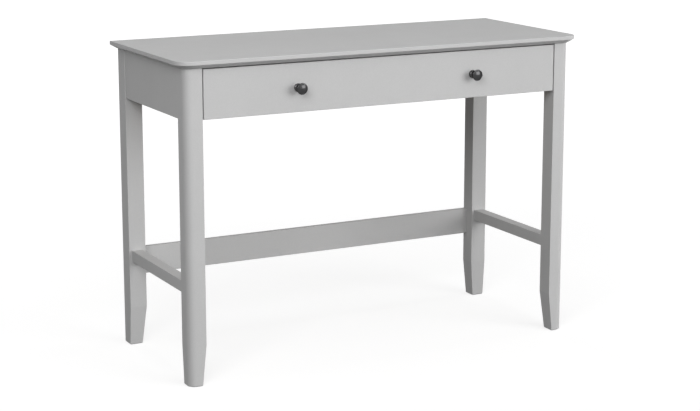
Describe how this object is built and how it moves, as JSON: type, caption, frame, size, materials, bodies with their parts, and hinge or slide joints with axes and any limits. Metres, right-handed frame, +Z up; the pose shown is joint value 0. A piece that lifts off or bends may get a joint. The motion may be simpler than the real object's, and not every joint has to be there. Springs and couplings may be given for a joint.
{
  "type": "writing desk",
  "caption": "Painted writing desk with a rounded bevelled top, tapered legs, stretchers and a wide drawer with knobs on telescopic slides.",
  "frame": {"origin": "on the floor, under the middle of the desk's outer box, knobs included", "axes": "+X along the desk to the sitter's right, +Y from the front to the back, +Z up"},
  "size_m": [1.1, 0.463, 0.78],
  "materials": {
    "grey_paint": "satin paint",
    "pale_timber": "clear lacquer",
    "dark_metal": "dark polished",
    "bright_steel": "zinc plated"
  },
  "bodies": {
    "desk_frame": {"tabletop": "grey_paint", "front_left_leg": "grey_paint", "front_right_leg": "grey_paint", "rear_left_leg": "grey_paint", "rear_right_leg": "grey_paint", "left_apron": "grey_paint", "right_apron": "grey_paint", "rear_apron": "grey_paint", "left_stretcher": "grey_paint", "right_stretcher": "grey_paint", "rear_stretcher": "grey_paint", "front_rail": "grey_paint", "left_cleat": "pale_timber", "right_cleat": "pale_timber", "rear_cleat": "pale_timber", "left_batten": "pale_timber", "right_batten": "pale_timber", "left_slide_outer": "bright_steel", "right_slide_outer": "bright_steel", "top_screws": "bright_steel", "cleat_screws": "bright_steel", "batten_screws": "bright_steel", "slide_screws": "bright_steel"},
    "left_slide_middle": {"left_slide_middle": "bright_steel"},
    "right_slide_middle": {"right_slide_middle": "bright_steel"},
    "drawer": {"drawer_front": "grey_paint", "drawer_left_side": "pale_timber", "drawer_right_side": "pale_timber", "drawer_back": "pale_timber", "drawer_bottom": "pale_timber", "drawer_brace": "pale_timber", "left_knob": "dark_metal", "right_knob": "dark_metal", "knob_screws": "bright_steel", "left_slide_inner": "bright_steel", "right_slide_inner": "bright_steel", "drawer_slide_screws": "bright_steel", "drawer_back_screws": "bright_steel", "drawer_bottom_screws": "bright_steel"}
  },
  "joints": [
    {"name": "drawer_slide", "type": "slide", "parent": "desk_frame", "child": "drawer", "axis": [0, -1, 0], "range_m": [0, 0.3]},
    {"name": "left_slide_follow", "type": "slide", "parent": "desk_frame", "child": "left_slide_middle", "axis": [0, -1, 0], "range_m": [0, 0.15]},
    {"name": "right_slide_follow", "type": "slide", "parent": "desk_frame", "child": "right_slide_middle", "axis": [0, -1, 0], "range_m": [0, 0.15]}
  ],
  "couplings": [
    {"joint": "left_slide_follow", "follows": "drawer_slide", "ratio": 0.5},
    {"joint": "right_slide_follow", "follows": "drawer_slide", "ratio": 0.5}
  ]
}
